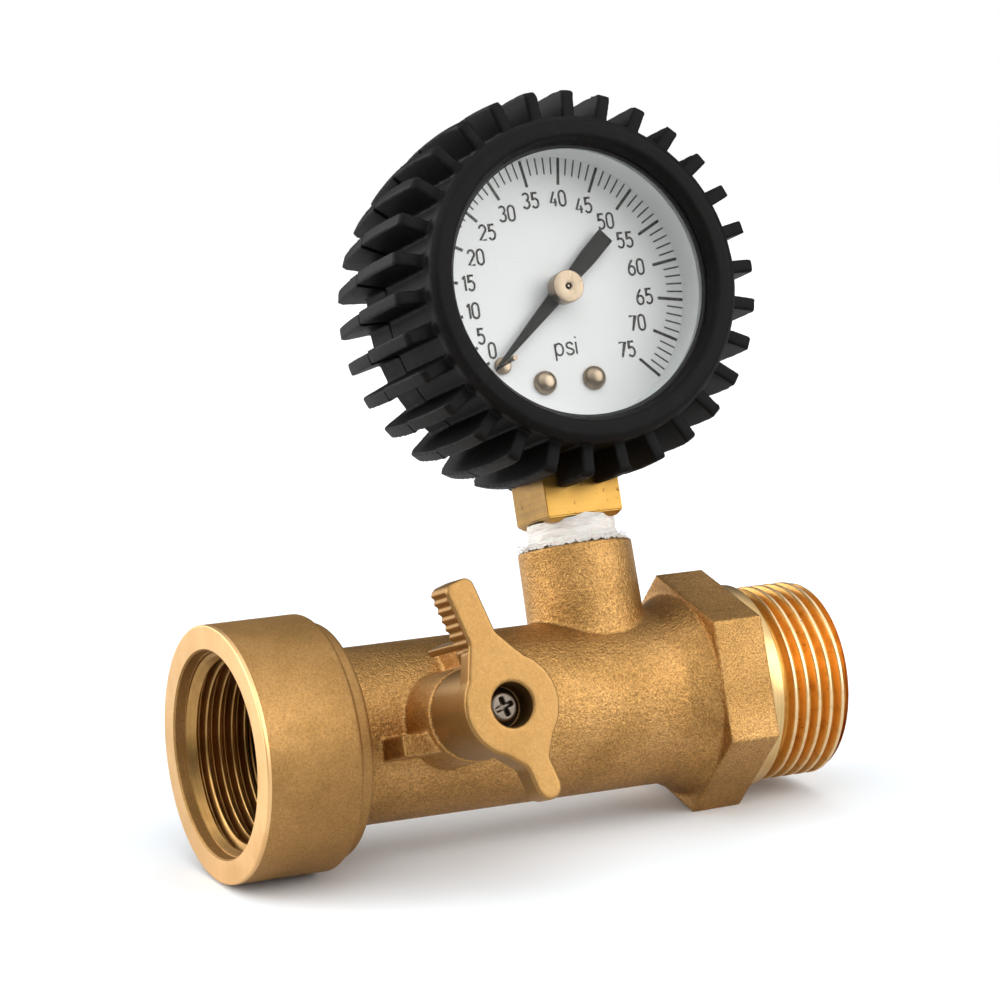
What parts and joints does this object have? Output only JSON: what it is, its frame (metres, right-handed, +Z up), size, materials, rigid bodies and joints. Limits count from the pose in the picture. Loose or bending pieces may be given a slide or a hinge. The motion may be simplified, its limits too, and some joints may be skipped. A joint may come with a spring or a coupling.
{
  "type": "water pressure regulator",
  "caption": "In-line brass water regulator with a quarter-turn throttling lever, threaded hose ends and a dial pressure gauge in a finned rubber boot.",
  "frame": {"origin": "centre of the inlet face, on the flow axis", "axes": "+X along the flow from inlet to outlet, +Z up the gauge stem, -Y towards the user: the lever and the dial face -Y"},
  "size_m": [0.0876, 0.0477, 0.0983],
  "materials": {
    "cast_brass": "sand-textured casting, satin",
    "turned_brass": "turned, bright",
    "lever_brass": "smooth casting, satin",
    "gauge_brass": "machined, slightly pitted",
    "nickel_brass": "nickel plated, bright",
    "tube_bronze": "drawn tube, satin",
    "chromed_ball": "polished",
    "plated_steel": "zinc plated",
    "black_rubber": "matt",
    "boot_rubber": "matt moulded",
    "white_ptfe": "waxy",
    "sealing_tape": "thin wound film, frayed",
    "black_case": "black enamel",
    "pointer_paint": "dark grey enamel",
    "dial_white": "white enamel, dark print",
    "spacer_white": "smooth",
    "window_glass": "clear"
  },
  "bodies": {
    "base": {"valve_body": "cast_brass", "inlet_washer": "black_rubber", "seat_retainer": "turned_brass", "inlet_seat": "white_ptfe", "outlet_seat": "white_ptfe", "thread_tape": "sealing_tape", "gauge_socket": "gauge_brass", "gauge_case": "black_case", "case_screw_left": "plated_steel", "case_screw_right": "plated_steel", "vent_plug": "black_rubber", "bourdon_tube": "tube_bronze", "tube_tip": "gauge_brass", "rear_plate": "gauge_brass", "front_plate": "gauge_brass", "pillar_upper_left": "gauge_brass", "pillar_upper_right": "gauge_brass", "pillar_lower_left": "gauge_brass", "pillar_lower_right": "gauge_brass", "dial_plate": "dial_white", "dial_rivet_left": "nickel_brass", "dial_rivet_right": "nickel_brass", "stop_screw": "nickel_brass", "stop_peg": "nickel_brass", "spacer_ring": "spacer_white", "gauge_window": "window_glass", "bezel_ring": "black_case", "rubber_boot": "boot_rubber"},
    "lever": {"valve_ball": "chromed_ball", "valve_stem": "turned_brass", "stem_washer": "white_ptfe", "stem_ring_inner": "black_rubber", "stem_ring_outer": "black_rubber", "lever_handle": "lever_brass", "handle_screw": "plated_steel"},
    "sector": {"sector_gear": "gauge_brass", "sector_arbor": "plated_steel", "link_pin": "plated_steel"},
    "link": {"link_bar": "gauge_brass"},
    "pointer": {"pinion_arbor": "plated_steel", "hairspring": "tube_bronze", "pointer": "pointer_paint", "pointer_hub": "nickel_brass"}
  },
  "joints": [
    {"name": "lever_turn", "type": "hinge", "parent": "base", "child": "lever", "pos_m": [0.0283, 0, 0], "axis": [0, -1, 0], "range_deg": [-17.2, 72.3]},
    {"name": "sector_swing", "type": "hinge", "parent": "base", "child": "sector", "pos_m": [0.05612, 0, 0.0456], "axis": [-0.0593, -0.9982, 0], "range_deg": [0, 38.09], "stiffness_Nm_per_rad": 0.001},
    {"name": "pointer_spin", "type": "hinge", "parent": "base", "child": "pointer", "pos_m": [0.05612, 0, 0.0552], "axis": [-0.0593, -0.9982, 0], "range_deg": [-266.7, 0]},
    {"name": "link_pivot", "type": "hinge", "parent": "sector", "child": "link", "pos_m": [0.05759, -0.00009, 0.04985], "axis": [-0.0593, -0.9982, 0], "range_deg": [-38.1, 0]}
  ],
  "couplings": [
    {"joint": "pointer_spin", "follows": "sector_swing", "ratio": -7},
    {"joint": "link_pivot", "follows": "sector_swing", "ratio": -1}
  ]
}
